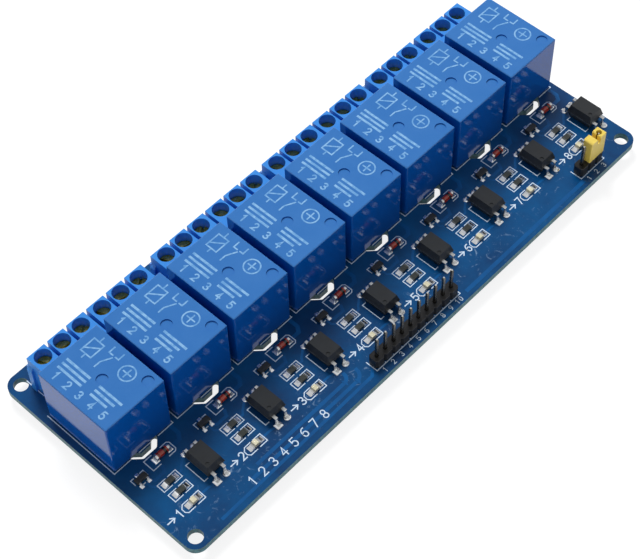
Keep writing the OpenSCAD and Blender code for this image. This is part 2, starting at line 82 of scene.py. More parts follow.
def makeMottle():
    # colour that drifts a little over the surface, as mouldings, inks and laminates do
    group = bpy.data.node_groups.new("surfaceMottle", "ShaderNodeTree")
    socketPair(group, "Color", "NodeSocketColor", True)
    socketPair(group, "Second", "NodeSocketColor", True)
    socketPair(group, "Scale", "NodeSocketFloat", True, 200)
    socketPair(group, "Low", "NodeSocketFloat", True, 0.35)
    socketPair(group, "High", "NodeSocketFloat", True, 0.65)
    socketPair(group, "Color", "NodeSocketColor", False)
    socketPair(group, "Mask", "NodeSocketFloat", False)
    source = addNode(group, "NodeGroupInput")
    sink = addNode(group, "NodeGroupOutput")
    place = addNode(group, "ShaderNodeTexCoord")
    noise = addNode(group, "ShaderNodeTexNoise")
    noise.inputs["Detail"].default_value = 5
    noise.inputs["Roughness"].default_value = 0.6
    span = addNode(group, "ShaderNodeMapRange")
    mix = addNode(group, "ShaderNodeMix", data_type="RGBA")
    link = group.links.new
    link(place.outputs["Object"], noise.inputs["Vector"])
    link(source.outputs["Scale"], noise.inputs["Scale"])
    link(noise.outputs["Fac"], span.inputs["Value"])
    link(source.outputs["Low"], span.inputs["From Min"])
    link(source.outputs["High"], span.inputs["From Max"])
    link(span.outputs["Result"], mix.inputs["Factor"])
    link(source.outputs["Color"], mix.inputs["A"])
    link(source.outputs["Second"], mix.inputs["B"])
    link(mix.outputs["Result"], sink.inputs["Color"])
    link(span.outputs["Result"], sink.inputs["Mask"])
    return group


def makeGrain():
    # fine height for a Bump node: tooling grain plus a slower wave
    group = bpy.data.node_groups.new("surfaceGrain", "ShaderNodeTree")
    socketPair(group, "Fine", "NodeSocketFloat", True, 4000)
    socketPair(group, "Coarse", "NodeSocketFloat", True, 300)
    socketPair(group, "Wave", "NodeSocketFloat", True, 0.5)
    socketPair(group, "Height", "NodeSocketFloat", False)
    source = addNode(group, "NodeGroupInput")
    sink = addNode(group, "NodeGroupOutput")
    place = addNode(group, "ShaderNodeTexCoord")
    fine = addNode(group, "ShaderNodeTexNoise")
    fine.inputs["Detail"].default_value = 3
    coarse = addNode(group, "ShaderNodeTexNoise")
    coarse.inputs["Detail"].default_value = 2
    scaled = addNode(group, "ShaderNodeMath", operation="MULTIPLY_ADD")
    link = group.links.new
    for noise, name in ((fine, "Fine"), (coarse, "Coarse")):
        link(place.outputs["Object"], noise.inputs["Vector"])
        link(source.outputs[name], noise.inputs["Scale"])
    link(coarse.outputs["Fac"], scaled.inputs[0])
    link(source.outputs["Wave"], scaled.inputs[1])
    link(fine.outputs["Fac"], scaled.inputs[2])
    link(scaled.outputs["Value"], sink.inputs["Height"])
    return group


def makeFacing():
    # 1 on faces that look straight up or down, 0 on upright walls
    group = bpy.data.node_groups.new("flatMask", "ShaderNodeTree")
    socketPair(group, "Flat", "NodeSocketFloat", False)
    socketPair(group, "Up", "NodeSocketFloat", False)
    sink = addNode(group, "NodeGroupOutput")
    place = addNode(group, "ShaderNodeTexCoord")
    split = addNode(group, "ShaderNodeSeparateXYZ")
    size = addNode(group, "ShaderNodeMath", operation="ABSOLUTE")
    flat = addNode(group, "ShaderNodeMath", operation="GREATER_THAN")
    flat.inputs[1].default_value = 0.5
    up = addNode(group, "ShaderNodeMath", operation="GREATER_THAN")
    up.inputs[1].default_value = 0.5
    link = group.links.new
    link(place.outputs["Normal"], split.inputs["Vector"])
    link(split.outputs["Z"], size.inputs[0])
    link(size.outputs["Value"], flat.inputs[0])
    link(split.outputs["Z"], up.inputs[0])
    link(flat.outputs["Value"], sink.inputs["Flat"])
    link(up.outputs["Value"], sink.inputs["Up"])
    return group


def makeResidue():
    # pale streaks that flux leaves in a strip between two depths of the board
    group = bpy.data.node_groups.new("fluxResidue", "ShaderNodeTree")
    socketPair(group, "Front", "NodeSocketFloat", True, 0)
    socketPair(group, "Back", "NodeSocketFloat", True, 0.01)
    socketPair(group, "Mask", "NodeSocketFloat", False)
    source = addNode(group, "NodeGroupInput")
    sink = addNode(group, "NodeGroupOutput")
    place = addNode(group, "ShaderNodeTexCoord")
    split = addNode(group, "ShaderNodeSeparateXYZ")
    noise = addNode(group, "ShaderNodeTexNoise")
    noise.inputs["Scale"].default_value = 420
    noise.inputs["Detail"].default_value = 6
    noise.inputs["Roughness"].default_value = 0.7
    noise.inputs["Distortion"].default_value = 1.6
    drops = addNode(group, "ShaderNodeMapRange", interpolation_type="SMOOTHSTEP")
    drops.inputs["From Min"].default_value = 0.57
    drops.inputs["From Max"].default_value = 0.74
    middle = addNode(group, "ShaderNodeMath", operation="ADD")
    off = addNode(group, "ShaderNodeMath", operation="MULTIPLY_ADD")
    off.inputs[1].default_value = -0.5
    away = addNode(group, "ShaderNodeMath", operation="ABSOLUTE")
    width = addNode(group, "ShaderNodeMath", operation="SUBTRACT")
    strip = addNode(group, "ShaderNodeMapRange", interpolation_type="SMOOTHSTEP")
    strip.inputs["From Max"].default_value = 0
    product = addNode(group, "ShaderNodeMath", operation="MULTIPLY")
    link = group.links.new
    link(place.outputs["Object"], noise.inputs["Vector"])
    link(place.outputs["Object"], split.inputs["Vector"])
    link(noise.outputs["Fac"], drops.inputs["Value"])
    link(source.outputs["Front"], middle.inputs[0])
    link(source.outputs["Back"], middle.inputs[1])
    link(middle.outputs["Value"], off.inputs[0])
    link(split.outputs["Y"], off.inputs[2])
    link(off.outputs["Value"], away.inputs[0])
    link(source.outputs["Back"], width.inputs[0])
    link(source.outputs["Front"], width.inputs[1])
    link(width.outputs["Value"], strip.inputs["From Min"])
    link(away.outputs["Value"], strip.inputs["Value"])
    link(strip.outputs["Result"], product.inputs[0])
    link(drops.outputs["Result"], product.inputs[1])
    link(product.outputs["Value"], sink.inputs["Mask"])
    return group


mottleGroup = makeMottle()
grainGroup = makeGrain()
flatGroup = makeFacing()
residueGroup = makeResidue()


def groupNode(tree, group, **values):
    node = addNode(tree, "ShaderNodeGroup", node_tree=group)
    for key, value in values.items():
        node.inputs[key].default_value = value
    return node


def newMaterial(name, spec):
    # principled surface with mottled colour, varied roughness and fine relief
    material = bpy.data.materials.new(name)
    material.use_nodes = True
    tree = material.node_tree
    shader = tree.nodes["Principled BSDF"]
    shader.inputs["Metallic"].default_value = spec.get("metal", 0)
    shader.inputs["Coat Weight"].default_value = spec.get("coat", 0)
    shader.inputs["Coat Roughness"].default_value = spec.get("coatRough", 0.1)
    shader.inputs["IOR"].default_value = spec.get("ior", 1.5)
    shader.inputs["Specular IOR Level"].default_value = spec.get("gloss", 0.5)
    mottle = groupNode(tree, mottleGroup, Color=spec["color"], Second=spec.get("second", spec["color"]),
                       Scale=spec.get("scale", 250), Low=spec.get("low", 0.35), High=spec.get("high", 0.65))
    rough = addNode(tree, "ShaderNodeMapRange")
    rough.inputs["To Min"].default_value = spec["rough"]
    rough.inputs["To Max"].default_value = spec.get("roughTop", spec["rough"] + 0.08)
    grain = groupNode(tree, grainGroup, Fine=spec.get("fine", 4000), Coarse=spec.get("coarse", 300),
                      Wave=spec.get("wave", 0.5))
    bump = addNode(tree, "ShaderNodeBump")
    bump.inputs["Strength"].default_value = spec.get("relief", 0.15)
    bump.inputs["Distance"].default_value = spec.get("reliefDepth", 0.00002)
    link = tree.links.new
    link(mottle.outputs["Color"], shader.inputs["Base Color"])
    link(mottle.outputs["Mask"], rough.inputs["Value"])
    link(rough.outputs["Result"], shader.inputs["Roughness"])
    link(grain.outputs["Height"], bump.inputs["Height"])
    link(bump.outputs["Normal"], shader.inputs["Normal"])
    return material, tree, shader, mottle


def colourBy(tree, shader, mask, first, second):
    # replaces the colour on one kind of face
    mix = addNode(tree, "ShaderNodeMix", data_type="RGBA")
    tree.links.new(mask, mix.inputs["Factor"])
    tree.links.new(first, mix.inputs["A"])
    tree.links.new(second, mix.inputs["B"])
    tree.links.new(mix.outputs["Result"], shader.inputs["Base Color"])


# the edge colours are the laminate's own, darkened as painted shade for the walls of the slots and holes
boardLook = {"mask": srgb(0, 56, 104), "maskLight": srgb(4, 80, 134), "edge": srgb(74, 132, 140),
             "edgeDark": srgb(48, 94, 104), "residue": srgb(128, 158, 190), "rough": 0.3, "gloss": 0.3,
             "residueFrom": 2.5, "residueTo": 9.5}


def makeBoardMaterial():
    material, tree, shader, mottle = newMaterial("solderMask", {
        "color": boardLook["mask"], "second": boardLook["maskLight"], "scale": 75, "low": 0.36, "high": 0.66,
        "rough": boardLook["rough"], "roughTop": 0.42, "fine": 2500, "coarse": 420, "wave": 1.2,
        "gloss": boardLook["gloss"], "relief": 0.12, "reliefDepth": 0.00004})
    flat = groupNode(tree, flatGroup)
    # upright faces of the board: laminate colour with painted shade
    laminateWithShade = groupNode(tree, mottleGroup, Color=boardLook["edge"], Second=boardLook["edgeDark"],
                         Scale=1500, Low=0.4, High=0.6)
    streaks = groupNode(tree, residueGroup, Front=(frontY + boardLook["residueFrom"]) * mm,
                        Back=(frontY + boardLook["residueTo"]) * mm)
    stained = addNode(tree, "ShaderNodeMix", data_type="RGBA")
    stained.inputs["B"].default_value = boardLook["residue"]
    tree.links.new(streaks.outputs["Mask"], stained.inputs["Factor"])
    tree.links.new(mottle.outputs["Color"], stained.inputs["A"])
    colourBy(tree, shader, flat.outputs["Flat"], laminateWithShade.outputs["Color"], stained.outputs["Result"])
    return material


# the top colours have a painted sheen mixed in and the side colour is painted shade, all for one blue plastic
relayLook = {"top": srgb(50, 114, 185), "sheenedTopSecond": srgb(56, 118, 188), "side": srgb(0, 86, 176),
             "roughTop": 0.4, "roughSide": 0.05, "ior": 1.42}


def makeRelayMaterial():
    # fine texture on the printed top, whose colour carries a painted sheen; smooth and glossy down the sides,
    # whose darker colour is painted shade
    material, tree, shader, mottle = newMaterial("relayCover", {
        "color": relayLook["top"], "second": relayLook["sheenedTopSecond"], "scale": 160,
        "rough": relayLook["roughTop"], "ior": relayLook["ior"], "fine": 5200, "coarse": 240,
        "wave": 0.8, "relief": 0.2, "reliefDepth": 0.00002})
    flat = groupNode(tree, flatGroup)
    # painted shade: the darker colour on every face that does not look up
    shadedSideColour = groupNode(tree, mottleGroup, Color=relayLook["side"], Second=relayLook["side"], Scale=120)
    colourBy(tree, shader, flat.outputs["Up"], shadedSideColour.outputs["Color"], mottle.outputs["Color"])
    rough = addNode(tree, "ShaderNodeMapRange")
    rough.inputs["To Min"].default_value = relayLook["roughSide"]
    rough.inputs["To Max"].default_value = relayLook["roughTop"]
    tree.links.new(flat.outputs["Up"], rough.inputs["Value"])
    tree.links.new(rough.outputs["Result"], shader.inputs["Roughness"])
    return material


looks = {
    "relayBase": {"color": srgb(20, 36, 66), "second": srgb(30, 48, 80), "rough": 0.4, "scale": 300},
    "terminalPlastic": {"color": srgb(52, 138, 222), "second": srgb(60, 144, 226), "scale": 140, "rough": 0.3,
                        "relief": 0.2},
    "screwBrass": {"color": srgb(214, 204, 120), "second": srgb(150, 144, 62), "scale": 900, "metal": 1,
                   "rough": 0.2, "fine": 3000, "coarse": 1500, "wave": 2, "relief": 0.6},
    "clampSteel": {"color": srgb(176, 178, 176), "second": srgb(150, 150, 146), "metal": 1, "rough": 0.3},
    "tinnedMetal": {"color": srgb(222, 224, 224), "second": srgb(196, 198, 198), "scale": 1200, "metal": 1,
                    "rough": 0.24, "relief": 0.2},
    "solder": {"color": srgb(250, 251, 252), "second": srgb(228, 232, 236), "scale": 700, "metal": 1,
               "rough": 0.2, "roughTop": 0.34, "coarse": 900, "wave": 1.5, "relief": 0.35},
    "blackResin": {"color": srgb(28, 31, 34), "second": srgb(34, 37, 40), "scale": 500, "rough": 0.42,
                   "fine": 6500, "relief": 0.5},
    "diodeGlass": {"color": srgb(206, 66, 34), "second": srgb(160, 34, 20), "scale": 500, "rough": 0.08,
                   "coat": 0.6},
    "resistorCoat": {"color": srgb(42, 46, 44), "second": srgb(58, 62, 58), "scale": 900, "rough": 0.3},
    "lampBase": {"color": srgb(226, 222, 206), "second": srgb(206, 202, 186), "rough": 0.5, "scale": 800},
    "lampLens": {"color": srgb(232, 226, 196), "second": srgb(206, 200, 166), "rough": 0.16, "scale": 700,
                 "coat": 0.4},
    "headerPlastic": {"color": srgb(12, 12, 14), "second": srgb(20, 20, 22), "rough": 0.38, "scale": 500,
                      "relief": 0.4},
    "jumperPlastic": {"color": srgb(246, 218, 104), "second": srgb(238, 208, 90), "rough": 0.3, "scale": 300,
                      "relief": 0.2},
    "silkInk": {"color": srgb(222, 238, 252), "second": srgb(204, 224, 244), "rough": 0.5, "scale": 1400,
                "relief": 0.4},
    "coverInk": {"color": srgb(140, 188, 230), "second": srgb(104, 160, 214), "rough": 0.5, "scale": 900,
                 "low": 0.42, "high": 0.6, "relief": 0.3},
    "endTin": {"color": srgb(120, 124, 124), "second": srgb(92, 96, 96), "scale": 1600, "metal": 1,
               "rough": 0.34},
    "bandInk": {"color": srgb(16, 12, 12), "second": srgb(30, 22, 20), "rough": 0.16, "coat": 0.4},
    # pale seam line: partly the moulding flash, partly a painted highlight on the ridge
    "seamFlashAndHighlight": {"color": srgb(84, 90, 96), "second": srgb(48, 54, 58), "rough": 0.4, "scale": 1500},
    "traceMask": {"color": srgb(6, 78, 136), "second": srgb(12, 90, 152), "rough": 0.3, "gloss": 0.3,
                  "scale": 200, "coarse": 500, "wave": 1.2, "relief": 0.15},
    "padTin": {"color": srgb(220, 224, 226), "second": srgb(190, 194, 196), "rough": 0.26, "scale": 700,
               "metal": 1, "relief": 0.3},
}
materials = {name: newMaterial(name, spec)[0] for name, spec in looks.items()}
materials["board"] = makeBoardMaterial()
materials["relayCover"] = makeRelayMaterial()


# the tip colours are a painted highlight and the shaft colours are painted shade
pinLook = {"tip": srgb(240, 240, 236), "litTipSecond": srgb(222, 222, 216), "tipScale": 900,
           "shadedShaft": {"color": srgb(128, 126, 120), "second": srgb(84, 82, 78), "scale": 600, "metal": 1,
                     "rough": 0.22, "relief": 0.15}}


def makePinMaterial():
    # painted shade on the shafts and a painted highlight on each cut end that faces up, for one pin metal
    material, tree, shader, mottle = newMaterial("headerPin", pinLook["shadedShaft"])
    flat = groupNode(tree, flatGroup)
    tip = groupNode(tree, mottleGroup, Color=pinLook["tip"], Second=pinLook["litTipSecond"],
                    Scale=pinLook["tipScale"])
    colourBy(tree, shader, flat.outputs["Up"], mottle.outputs["Color"], tip.outputs["Color"])
    return material


materials["headerPin"] = makePinMaterial()

nodeLooks = {
    "pcb": "board", "relay_cover": "relayCover", "relay_bases": "relayBase", "relay_pins": "tinnedMetal",
    "terminal_block": "terminalPlastic", "terminal_screws": "screwBrass", "wire_clamps": "clampSteel",
    "terminal_contacts": "tinnedMetal", "opto_bodies": "blackResin", "opto_leads": "tinnedMetal",
    "diode_glass": "diodeGlass", "diode_caps": "tinnedMetal", "transistor_bodies": "blackResin",
    "transistor_leads": "tinnedMetal", "resistor_bodies": "resistorCoat", "resistor_ends": "endTin",
    "lamp_bases": "lampBase", "lamp_lenses": "lampLens", "lamp_ends": "tinnedMetal",
    "input_header": "headerPlastic", "input_pins": "headerPin", "supply_header": "headerPlastic",
    "supply_pins": "headerPin", "jumper_cap": "jumperPlastic", "jumper_contact": "clampSteel",
    "solder_joints": "solder",
}
for name, piece in nodes.items():
    look = nodeLooks.get(name) or nodeLooks[name.rsplit("_", 1)[0]]
    for place in piece.material_slots:
        place.link = "OBJECT"
        place.material = materials[look]
print("materials set on", len(nodes), "nodes")

# moulded and bent corners are a little round
cornerRadii = {
    "relay_cover": 0.3, "terminal_block": 0.14, "opto_bodies": 0.12, "opto_leads": 0.16, "jumper_cap": 0.3,
    "input_header": 0.1, "supply_header": 0.1, "input_pins": 0.1, "supply_pins": 0.1,
    "transistor_bodies": 0.06, "resistor_bodies": 0.04, "resistor_ends": 0.05, "lamp_ends": 0.05,
}
for name, piece in nodes.items():
    radius = cornerRadii.get(name) or cornerRadii.get(name.rsplit("_", 1)[0])
    if radius:
        weld = piece.modifiers.new("weld", "WELD")
        weld.merge_threshold = 0.001 * mm
        bevel = piece.modifiers.new("roundCorners", "BEVEL")
        bevel.width = radius * mm
        bevel.segments = 3
        bevel.limit_method = "ANGLE"
        bevel.angle_limit = math.radians(42)
print("corners rounded")


# building meshes, in millimetres

class Shape:
    def __init__(self):
        self.points = []
        self.faces = []
        self.lines = 0

    def add(self, points, faces):
        base = len(self.points)
        self.points += points
        self.faces += [[base + k for k in face] for face in faces]


def finishPiece(name, shape, look, smooth=False):
    mesh = bpy.data.meshes.new(name)
    mesh.from_pydata([(x * mm, y * mm, z * mm) for x, y, z in shape.points], [], shape.faces)
    mesh.validate()
    if smooth:
        mesh.shade_smooth()
    piece = bpy.data.objects.new(name, mesh)
    bpy.context.scene.collection.objects.link(piece)
    mesh.materials.append(materials[look])
    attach(piece, "root")
    print(name, len(mesh.polygons), "faces")


ribbonLevels = {"count": 5, "step": 0.002}  # crossing lines never share a level


def ribbon(shape, path, width, low, high):
    # a flat line of even width along a path, mitred at its corners and joined where it closes
    path = [Vector(p) for p in path]
    closed = (path[0] - path[-1]).length < 1e-6
    if closed:
        path.pop()
    count = len(path)
    high += ribbonLevels["step"] * (shape.lines % ribbonLevels["count"])
    shape.lines += 1
    points = []
    for k, here in enumerate(path):
        before = (here - path[k - 1]).normalized() if k or closed else None
        after = (path[(k + 1) % count] - here).normalized() if k + 1 < count or closed else None
        one = before or after
        two = after or before
        normal = Vector((-one.y - two.y, one.x + two.x)).normalized()
        reach = width / 2 / max(0.4, normal.dot(Vector((-one.y, one.x))))
        shift = Vector((0, 0))
        if before is None:
            shift = -after * width / 2
        if after is None:
            shift = before * width / 2
        for side, z in ((1, high), (-1, high), (-1, low), (1, low)):
            spot = here + shift + normal * reach * side
            points.append((spot.x, spot.y, z))
    faces = []
    for k in range(count if closed else count - 1):
        a, b = 4 * k, 4 * ((k + 1) % count)
        for j in range(4):
            n = (j + 1) % 4
            faces.append((a + j, a + n, b + n, b + j))
    if not closed:
        last = 4 * (count - 1)
        faces += [(3, 2, 1, 0), (last, last + 1, last + 2, last + 3)]
    shape.add(points, faces)


def arcPath(x, y, rx, ry, start, end, steps=8):
    turns = [math.radians(start + (end - start) * k / steps) for k in range(steps + 1)]
    return [(x + rx * math.cos(t), y + ry * math.sin(t)) for t in turns]


def ringPad(shape, x, y, radius, hole, low, high, sides):
    turns = [2 * math.pi * k / sides for k in range(sides)]
    rim = [(x + radius * math.cos(t), y + radius * math.sin(t)) for t in turns]
    inner = [(x + hole * math.cos(t), y + hole * math.sin(t)) for t in turns]
    points = []
    for line in (rim, inner):
        points += [(a, b, high) for a, b in line] + [(a, b, low) for a, b in line]
    faces = [(k, sides + k, sides + (k + 1) % sides, (k + 1) % sides) for k in range(sides)]
    for k in range(sides):
        n = (k + 1) % sides
        faces.append((k, n, 2 * sides + n, 2 * sides + k))
        faces.append((sides + n, sides + k, 3 * sides + k, 3 * sides + n))
        faces.append((2 * sides + k, 2 * sides + n, 3 * sides + n, 3 * sides + k))
    shape.add(points, faces)


def roundedOutline(x, y, width, depth, radius, steps=4):
    outline = []
    for sx, sy, start in ((1, 1, 0), (-1, 1, 90), (-1, -1, 180), (1, -1, 270)):
        cx = x + sx * (width / 2 - radius)
        cy = y + sy * (depth / 2 - radius)
        outline += arcPath(cx, cy, radius, radius, start, start + 90, steps)
    return outline


def solderHeap(shape, foot, crest, base, height, rings=5, hollow=1.7):
    # solder that climbs from a pad's outline to a smaller crest with a hollow slope
    footLine = roundedOutline(*foot)
    crestLine = roundedOutline(*crest)
    count = len(footLine)
    points = [(px, py, base) for px, py in footLine]
    for k in range(rings + 1):
        part = k / rings
        rise = 0.06 + (height - 0.06) * part ** hollow
        for (px, py), (qx, qy) in zip(footLine, crestLine):
            points.append((px + (qx - px) * part, py + (qy - py) * part, base + rise))
    faces = [tuple(range(count - 1, -1, -1))]
    for k in range(rings + 1):
        for j in range(count):
            n = (j + 1) % count
            faces.append((k * count + j, k * count + n, (k + 1) * count + n, (k + 1) * count + j))
    top = (rings + 1) * count
    faces.append(tuple(range(top, top + count)))
    shape.add(points, faces)


# plain numbers, drawn with single strokes

digitStrokes = {
    "0": [arcPath(0.3, 0.5, 0.3, 0.5, 0, 360, 16)],
    "1": [[(0.1, 0.78), (0.34, 1), (0.34, 0)]],
    "2": [arcPath(0.3, 0.7, 0.3, 0.3, 160, -30) + [(0, 0), (0.6, 0)]],
    "3": [arcPath(0.27, 0.75, 0.27, 0.25, 150, -90), arcPath(0.27, 0.25, 0.32, 0.25, 90, -150)],
    "4": [[(0.44, 0), (0.44, 1), (0, 0.32)], [(0, 0.32), (0.62, 0.32)]],
    "5": [[(0.55, 1), (0.08, 1), (0.04, 0.56)] + arcPath(0.27, 0.32, 0.32, 0.32, 110, -150)],
    "6": [arcPath(0.5, 0.5, 0.48, 0.5, 80, 180, 5) + arcPath(0.31, 0.3, 0.29, 0.3, 180, 520, 12)],
    "7": [[(0, 1), (0.6, 1), (0.2, 0)]],
    "8": [arcPath(0.3, 0.75, 0.25, 0.25, 0, 360, 12), arcPath(0.3, 0.26, 0.3, 0.26, 0, 360, 12)],
    "9": [arcPath(0.29, 0.7, 0.29, 0.3, 0, 340, 12) + arcPath(0.1, 0.5, 0.48, 0.5, 20, -80, 5)],
}


def drawNumber(shape, text, x, y, height, width, low, high, turn=0, spread=0.95):
    cosT, sinT = math.cos(math.radians(turn)), math.sin(math.radians(turn))
    for k, digit in enumerate(text):
        for stroke in digitStrokes[digit]:
            path = []
            for a, b in stroke:
                u, v = (a * 0.9 + k * spread) * height, b * height
                path.append((x + u * cosT - v * sinT, y + u * sinT + v * cosT))
            ribbon(shape, path, width, low, high)


# ink on the board

inkLook = {"line": 0.21, "fine": 0.17, "bold": 0.26, "pinNumber": 0.15, "count": 0.24, "rise": 0.02,
           "numberHeight": 1.8, "pinNumberHeight": 1.1, "countHeight": 2, "countStep": 2.9}
channelInk = [
    # relay outline at the board: left side and corner, slot tick, right part with its hook
    [(-7.75, 19.3), (-7.75, -0.15), (-3.3, -0.15)],
    [(-1.2, -0.15), (1.8, -0.15)],
    [(4, -0.15), (7.95, -0.15), (7.95, 0.5)],
    # diode
    [(-0.1, -2.35), (-2.1, -2.35), (-2.1, -5.2), (-0.1, -5.2)],
    [(2.3, -2.35), (3.9, -2.35), (4.35, -2.8), (4.35, -4.65), (3.9, -5.1), (2.3, -5.1)],
    # transistor
    [(-4.3, -3.55), (-3.45, -3.55), (-3.45, -4.95)],
    [(-6, -3.55), (-6.7, -3.55), (-6.7, -4.9)],
    [(-5.65, -5.9), (-4.98, -5.9)],
    # two resistors
    [(-1.85, -8.1), (-3.95, -8.1), (-3.95, -10.15), (-1.85, -10.15)],
    [(-1.15, -8.1), (0.85, -8.1), (0.85, -10.15), (-1.15, -10.15)],
    [(-1.9, -11.15), (-3.95, -11.15), (-3.95, -13.2), (-1.9, -13.2)],
    [(-1.15, -11.15), (0.8, -11.15), (0.8, -13.2), (-1.15, -13.2)],
    # lamp
    [(-2.05, -14.6), (-3.55, -14.6), (-4.25, -15.25), (-4.3, -16.15), (-3.8, -16.75), (-2.05, -16.75)],
    [(-1.25, -14.6), (0.7, -14.6), (0.7, -16.75), (-1.25, -16.75)],
    # optocoupler
    [(3.8, -8.98), (2.9, -8.98), (2.9, -14.1), (3.8, -14.1)],
]


def makeBoardInk():
    shape = Shape()
    low, high = topZ, topZ + inkLook["rise"]
    for number, x in enumerate(channels):
        for path in channelInk:
            ribbon(shape, [(x + a, relayFront + b) for a, b in path], inkLook["line"], low, high)
        labelY = relayFront - 16.5
        for path in ([(-8.3, 0.9), (-6.6, 0.9)], [(-7.2, 1.5), (-6.5, 0.9), (-7.2, 0.3)]):
            ribbon(shape, [(x + a, labelY + b) for a, b in path], inkLook["bold"], low, high)
        drawNumber(shape, str(number + 1), x - 5.65, labelY, inkLook["numberHeight"], inkLook["bold"],
                   low, high)
    # back line of the first terminal block
    ribbon(shape, [(boardLow[0] + 4.15, relayBack + 4.3), (boardLow[0] + 4.15, relayBack + 9.4)],
           inkLook["line"], low, high)
    for header, count in headerPins.items():
        lowBox, highBox = boxMm(header)
        step = (highBox[0] - lowBox[0]) / count
        y = lowBox[1] - 0.2
        left, right = lowBox[0] - 0.15, highBox[0] + 0.15
        ribbon(shape, [(left, y + 2.9), (left, y), (right, y), (right, y + 0.6)], inkLook["line"], low, high)
        for k in range(1, count):
            tick = lowBox[0] + k * step
            ribbon(shape, [(tick, y), (tick, y + 0.25)], inkLook["fine"], low, high)
        for k in range(count):
            text = str(k + 1)
            x = lowBox[0] + (k + 0.5) * step - 0.45 * inkLook["pinNumberHeight"] * len(text)
            drawNumber(shape, text, x + 0.15, frontY + 0.6, inkLook["pinNumberHeight"],
                       inkLook["pinNumber"], low, high)
    # a plain count of the channels along the front
    for k in range(8):
        drawNumber(shape, str(k + 1), boardLow[0] + 18 + inkLook["countStep"] * k, frontY + 2.1,
                   inkLook["countHeight"], inkLook["count"], low, high)
    finishPiece("boardInk", shape, "silkInk")


makeBoardInk()


# ink on the relay covers: a plain wiring figure, rules and pin numbers

coverInkLook = {"line": 0.32, "digit": 0.34, "digitHeight": 1.7, "rule": 0.55, "rise": 0.012}
coverFigure = [
    [(-7.4, 1.6), (-7.4, 5.2), (-4.6, 5.2), (-4.6, 1.6), (-7.4, 1.6)],
    [(-7.4, 2.4), (-4.6, 4.4)],
    [(-6, 5.2), (-6, 6.4)],
    [(-6, 1.6), (-6, 0.6)],
    [(-2.6, 0.8), (-2.6, 2.2), (-1.5, 4.4)],
    [(-2.9, 6.4), (-2.9, 4.9), (-1.9, 4.9)],
    [(-0.3, 6.4), (-0.3, 4.9), (-1.1, 4.9)],
    # a crossed circle
    arcPath(3.2, 3.9, 1.75, 1.75, 0, 360, 24),
    [(2.2, 3.9), (4.2, 3.9)],
    [(3.2, 2.9), (3.2, 4.9)],
]


def makeCoverInk():
    shape = Shape()
    low, high = relayTop, relayTop + coverInkLook["rise"]
    relayY = (relayFront + relayBack) / 2
    for x in relayMid:
        def turned(path):
            # the figure reads from the back of the board to its front
            return [(x + b, relayY - a) for a, b in path]
        for path in coverFigure:
            ribbon(shape, turned(path), coverInkLook["line"], low, high)
        for row in range(3):
            v = -1.6 - 1.15 * row
            for start, end in ((-7.6, -5.4), (-4.9, -1.4), (1.6, 3.2), (3.7, 7.4 - 0.9 * row)):
                ribbon(shape, turned([(start, v), (end, v)]), coverInkLook["rule"], low, high)
        for k in range(5):
            spot = turned([(-7 + 3.3 * k, -6.4)])[0]
            drawNumber(shape, str(k + 1), spot[0], spot[1], coverInkLook["digitHeight"],
                       coverInkLook["digit"], low, high, turn=-90)
    finishPiece("coverInk", shape, "coverInk")


makeCoverInk()


# pads and solder on the component side

def heapAt(shape, x, y, foot, crest, height, hollow=1.7):
    fx, fy, fw, fd, fr = foot
    cx, cy, cw, cd, cr = crest
    solderHeap(shape, (x + fx, y + fy, fw, fd, fr), (x + cx, y + cy, cw, cd, cr), topZ, height, hollow=hollow)


# centres of the parts from a channel's middle and the relay's front, and how far their pads lie from them
solderLook = {"chipX": -1.5, "chipPad": 1.35, "chipTip": 1.02, "chipHeight": 0.5, "lampHeight": 0.38,
              "diodeX": 1.5, "diodeY": -3.77, "diodePad": 1.75, "diodeTip": 1.77, "diodeHeight": 0.75,
              "transistorX": -5.05, "transistorY": -4.85, "transistorPad": 1.2, "transistorTip": 1.05,
              "transistorHeight": 0.16, "optoX": 5.8, "optoY": -11.45, "optoPad": 4.55, "optoTip": 4.5,
              "optoHeight": 0.26}


def makeSolder():
    shape = Shape()
    look = solderLook
    chipHeights = {-9.15: look["chipHeight"], -12.15: look["chipHeight"], -15.6: look["lampHeight"]}
    for x in channels:
        y = relayFront
        # resistors and lamp: pads run outward from both ends
        for rowY, height in chipHeights.items():
            for side in (-1, 1):
                centre = look["chipX"] + side * look["chipPad"]
                tip = look["chipX"] + side * look["chipTip"]
                heapAt(shape, x, y, (centre, rowY, 1.2, 1.35, 0.12), (tip, rowY, 0.1, 1.1, 0.04), height)
        # diode
        for side in (-1, 1):
            centre = look["diodeX"] + side * look["diodePad"]
            tip = look["diodeX"] + side * look["diodeTip"]
            heapAt(shape, x, y, (centre, look["diodeY"], 1.3, 1.6, 0.12),
                   (tip, look["diodeY"], 0.1, 0.9, 0.04), look["diodeHeight"])
        # transistor
        for dx, side in ((-0.95, -1), (0.95, -1), (0, 1)):
            leadX = look["transistorX"] + dx
            heapAt(shape, x, y, (leadX, look["transistorY"] + side * look["transistorPad"], 0.8, 0.95, 0.1),
                   (leadX, look["transistorY"] + side * look["transistorTip"], 0.45, 0.3, 0.05),
                   look["transistorHeight"])
        # optocoupler
        for dx in (-1.27, 1.27):
            for side in (-1, 1):
                corner = 0.15 if dx < 0 and side < 0 else 0.7  # the first pin's pad is square
                leadX = look["optoX"] + dx
                heapAt(shape, x, y, (leadX, look["optoY"] + side * look["optoPad"], 1.5, 1.5, corner),
                       (leadX, look["optoY"] + side * look["optoTip"], 0.8, 0.9, 0.1),
                       look["optoHeight"], hollow=1.3)
    finishPiece("padSolder", shape, "solder")


makeSolder()
